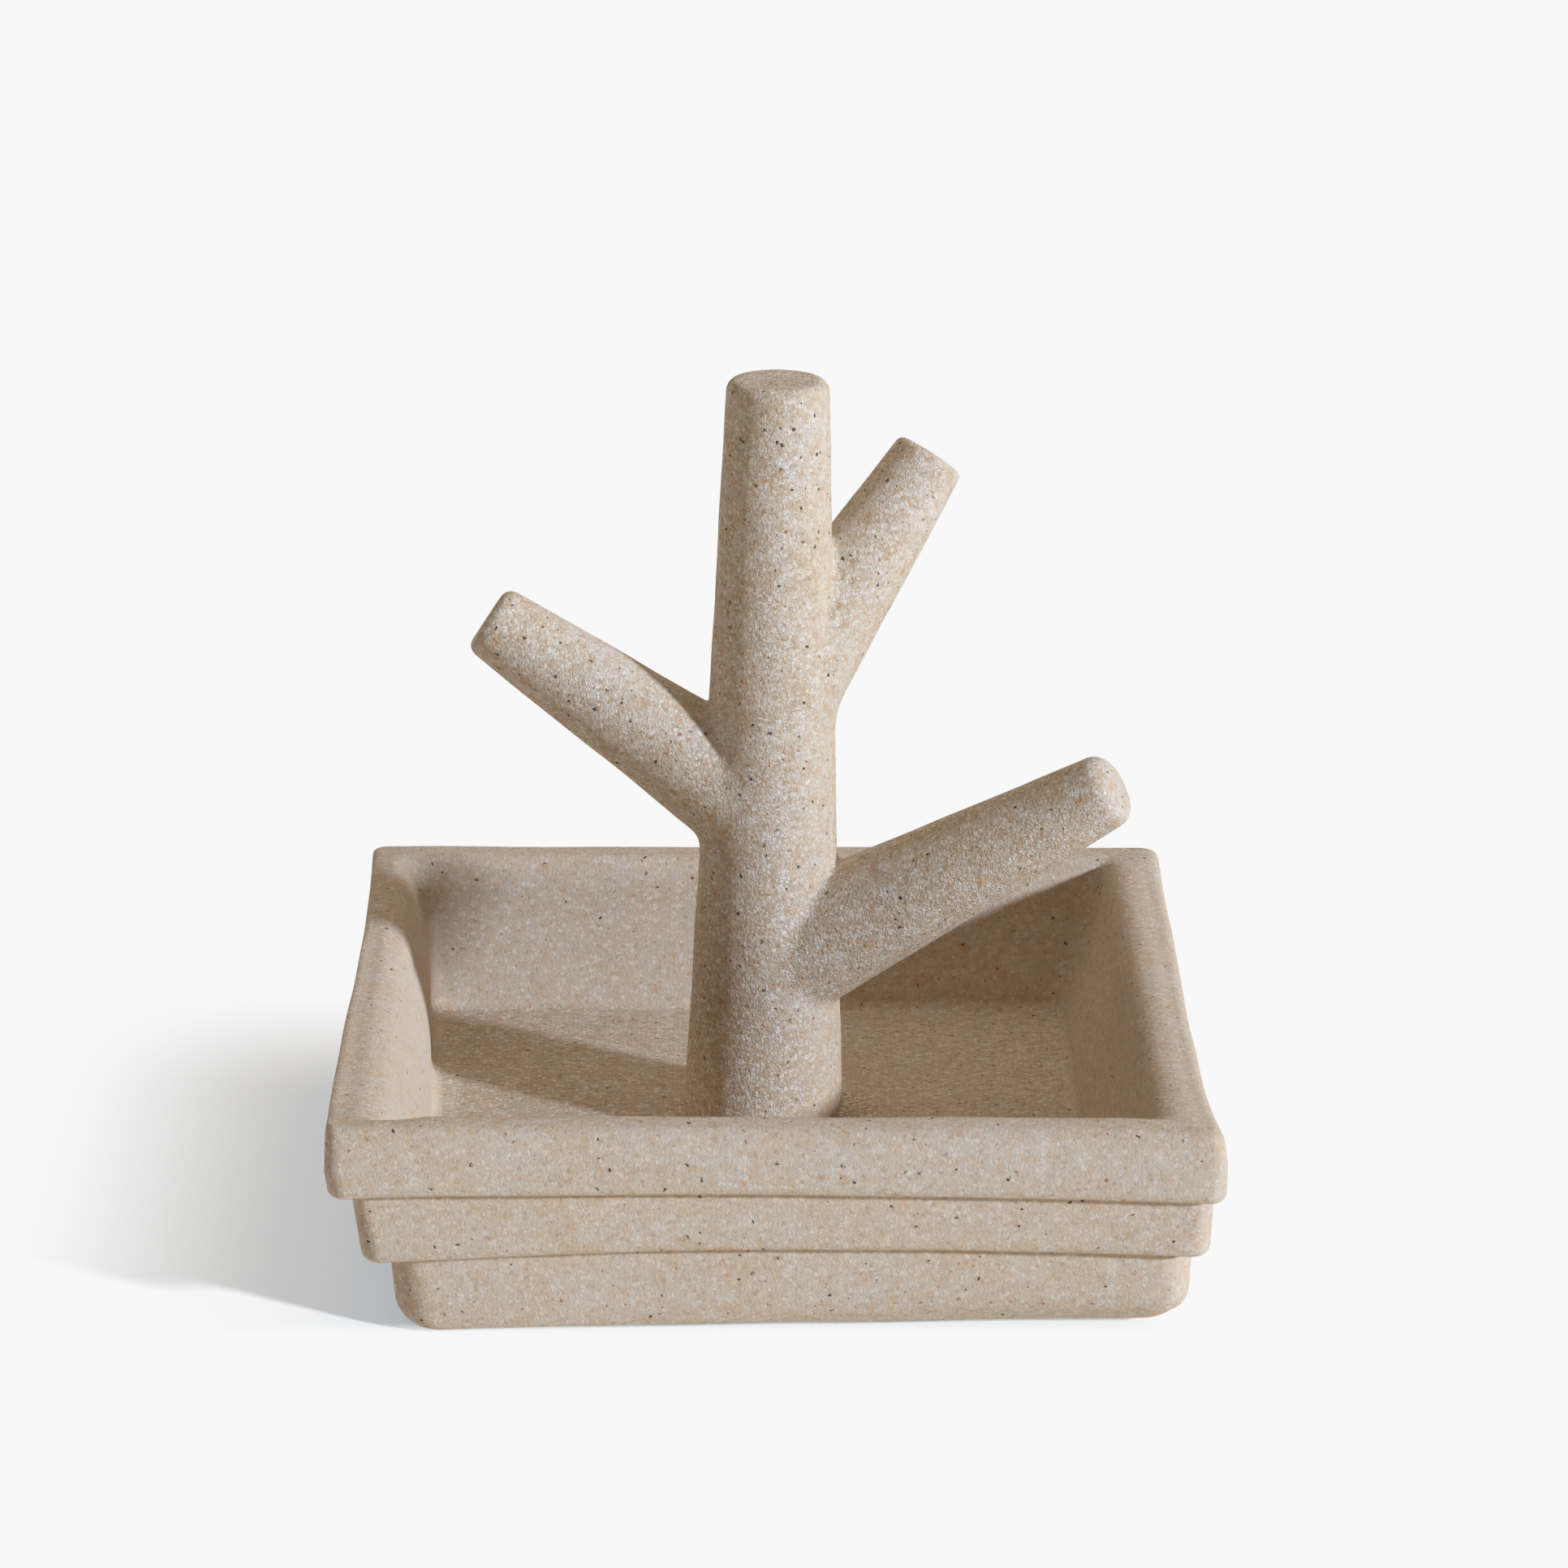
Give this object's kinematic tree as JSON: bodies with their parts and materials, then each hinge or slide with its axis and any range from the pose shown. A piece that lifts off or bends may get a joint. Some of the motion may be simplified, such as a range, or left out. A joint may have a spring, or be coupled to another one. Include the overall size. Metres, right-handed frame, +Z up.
{
  "type": "jewelry holder",
  "caption": "Square stepped tray with a branching tree in its middle: rings and chains lie in the tray or hang on the cut branches.",
  "frame": {"origin": "on the table, under the middle of the tray's top tier", "axes": "+Z up out of the tray, +X to the right and +Y to the back as in the picture"},
  "size_m": [0.12, 0.12, 0.1197],
  "materials": {
    "cast_resin": "matt sand-filled cast resin, like fine sandstone",
    "brass": "as turned",
    "zinc_plated_steel": "bright zinc plate",
    "clear_pad": "soft translucent, slightly milky"
  },
  "bodies": {
    "root": {"tray": "cast_resin", "tree": "cast_resin", "threaded_insert": "brass", "washer": "zinc_plated_steel", "fixing_screw": "zinc_plated_steel", "foot_pad_front_left": "clear_pad", "foot_pad_front_right": "clear_pad", "foot_pad_back_left": "clear_pad", "foot_pad_back_right": "clear_pad"}
  },
  "joints": []
}
